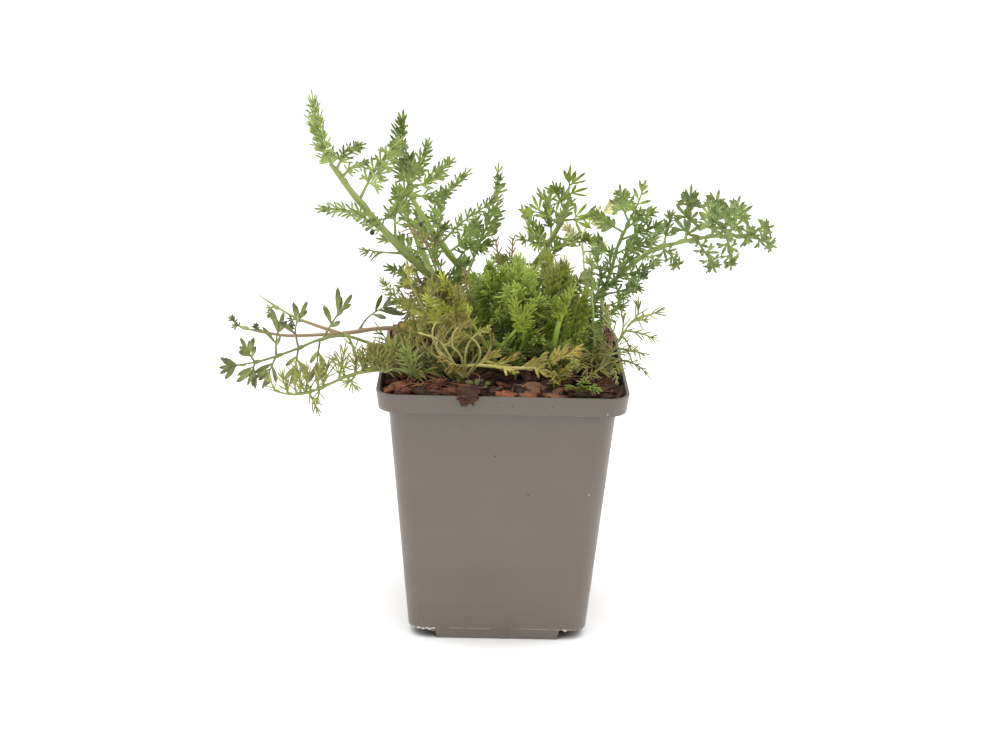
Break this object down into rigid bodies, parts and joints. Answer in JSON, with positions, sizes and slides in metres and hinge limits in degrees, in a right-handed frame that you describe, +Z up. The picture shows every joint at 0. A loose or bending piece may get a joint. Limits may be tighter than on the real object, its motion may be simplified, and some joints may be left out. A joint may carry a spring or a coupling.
{
  "type": "potted water plant",
  "caption": "Young marsh plant with finely cut, feathery leaves on sprawling shoots, growing through bark mulch in a square tapered plastic nursery pot with a banded rim.",
  "frame": {"origin": "centre of the pot foot, on the surface the pot stands on", "axes": "+Z up, -Y the front as pictured, +X to the viewer's right"},
  "size_m": [0.2043, 0.0973, 0.2014],
  "materials": {
    "pot": "matt",
    "soil": "matt",
    "bark_mulch": "matt",
    "shoot_left_tall": "matt",
    "shoot_left_second": "matt",
    "bush_left": "matt",
    "bush_middle": "matt",
    "bush_right": "matt",
    "shoot_back": "matt",
    "leaf_pale": "matt",
    "shoot_right_long": "matt",
    "shoot_right_upright": "matt",
    "leaf_silvery": "matt",
    "runner_left": "matt",
    "leaf_left_broad": "matt",
    "spray_left_low": "matt",
    "spray_right_low": "matt",
    "runner_yellow": "matt",
    "leaves_old": "matt",
    "shoot_rear_left": "matt",
    "shoot_rear_right": "matt"
  },
  "bodies": {
    "root": {"pot": "pot", "soil": "soil", "bark_mulch": "bark_mulch", "shoot_left_tall": "shoot_left_tall", "shoot_left_second": "shoot_left_second", "bush_left": "bush_left", "bush_middle": "bush_middle", "bush_right": "bush_right", "shoot_back": "shoot_back", "leaf_pale": "leaf_pale", "shoot_right_long": "shoot_right_long", "shoot_right_upright": "shoot_right_upright", "leaf_silvery": "leaf_silvery", "runner_left": "runner_left", "leaf_left_broad": "leaf_left_broad", "spray_left_low": "spray_left_low", "spray_right_low": "spray_right_low", "runner_yellow": "runner_yellow", "leaves_old": "leaves_old", "shoot_rear_left": "shoot_rear_left", "shoot_rear_right": "shoot_rear_right"}
  },
  "joints": []
}
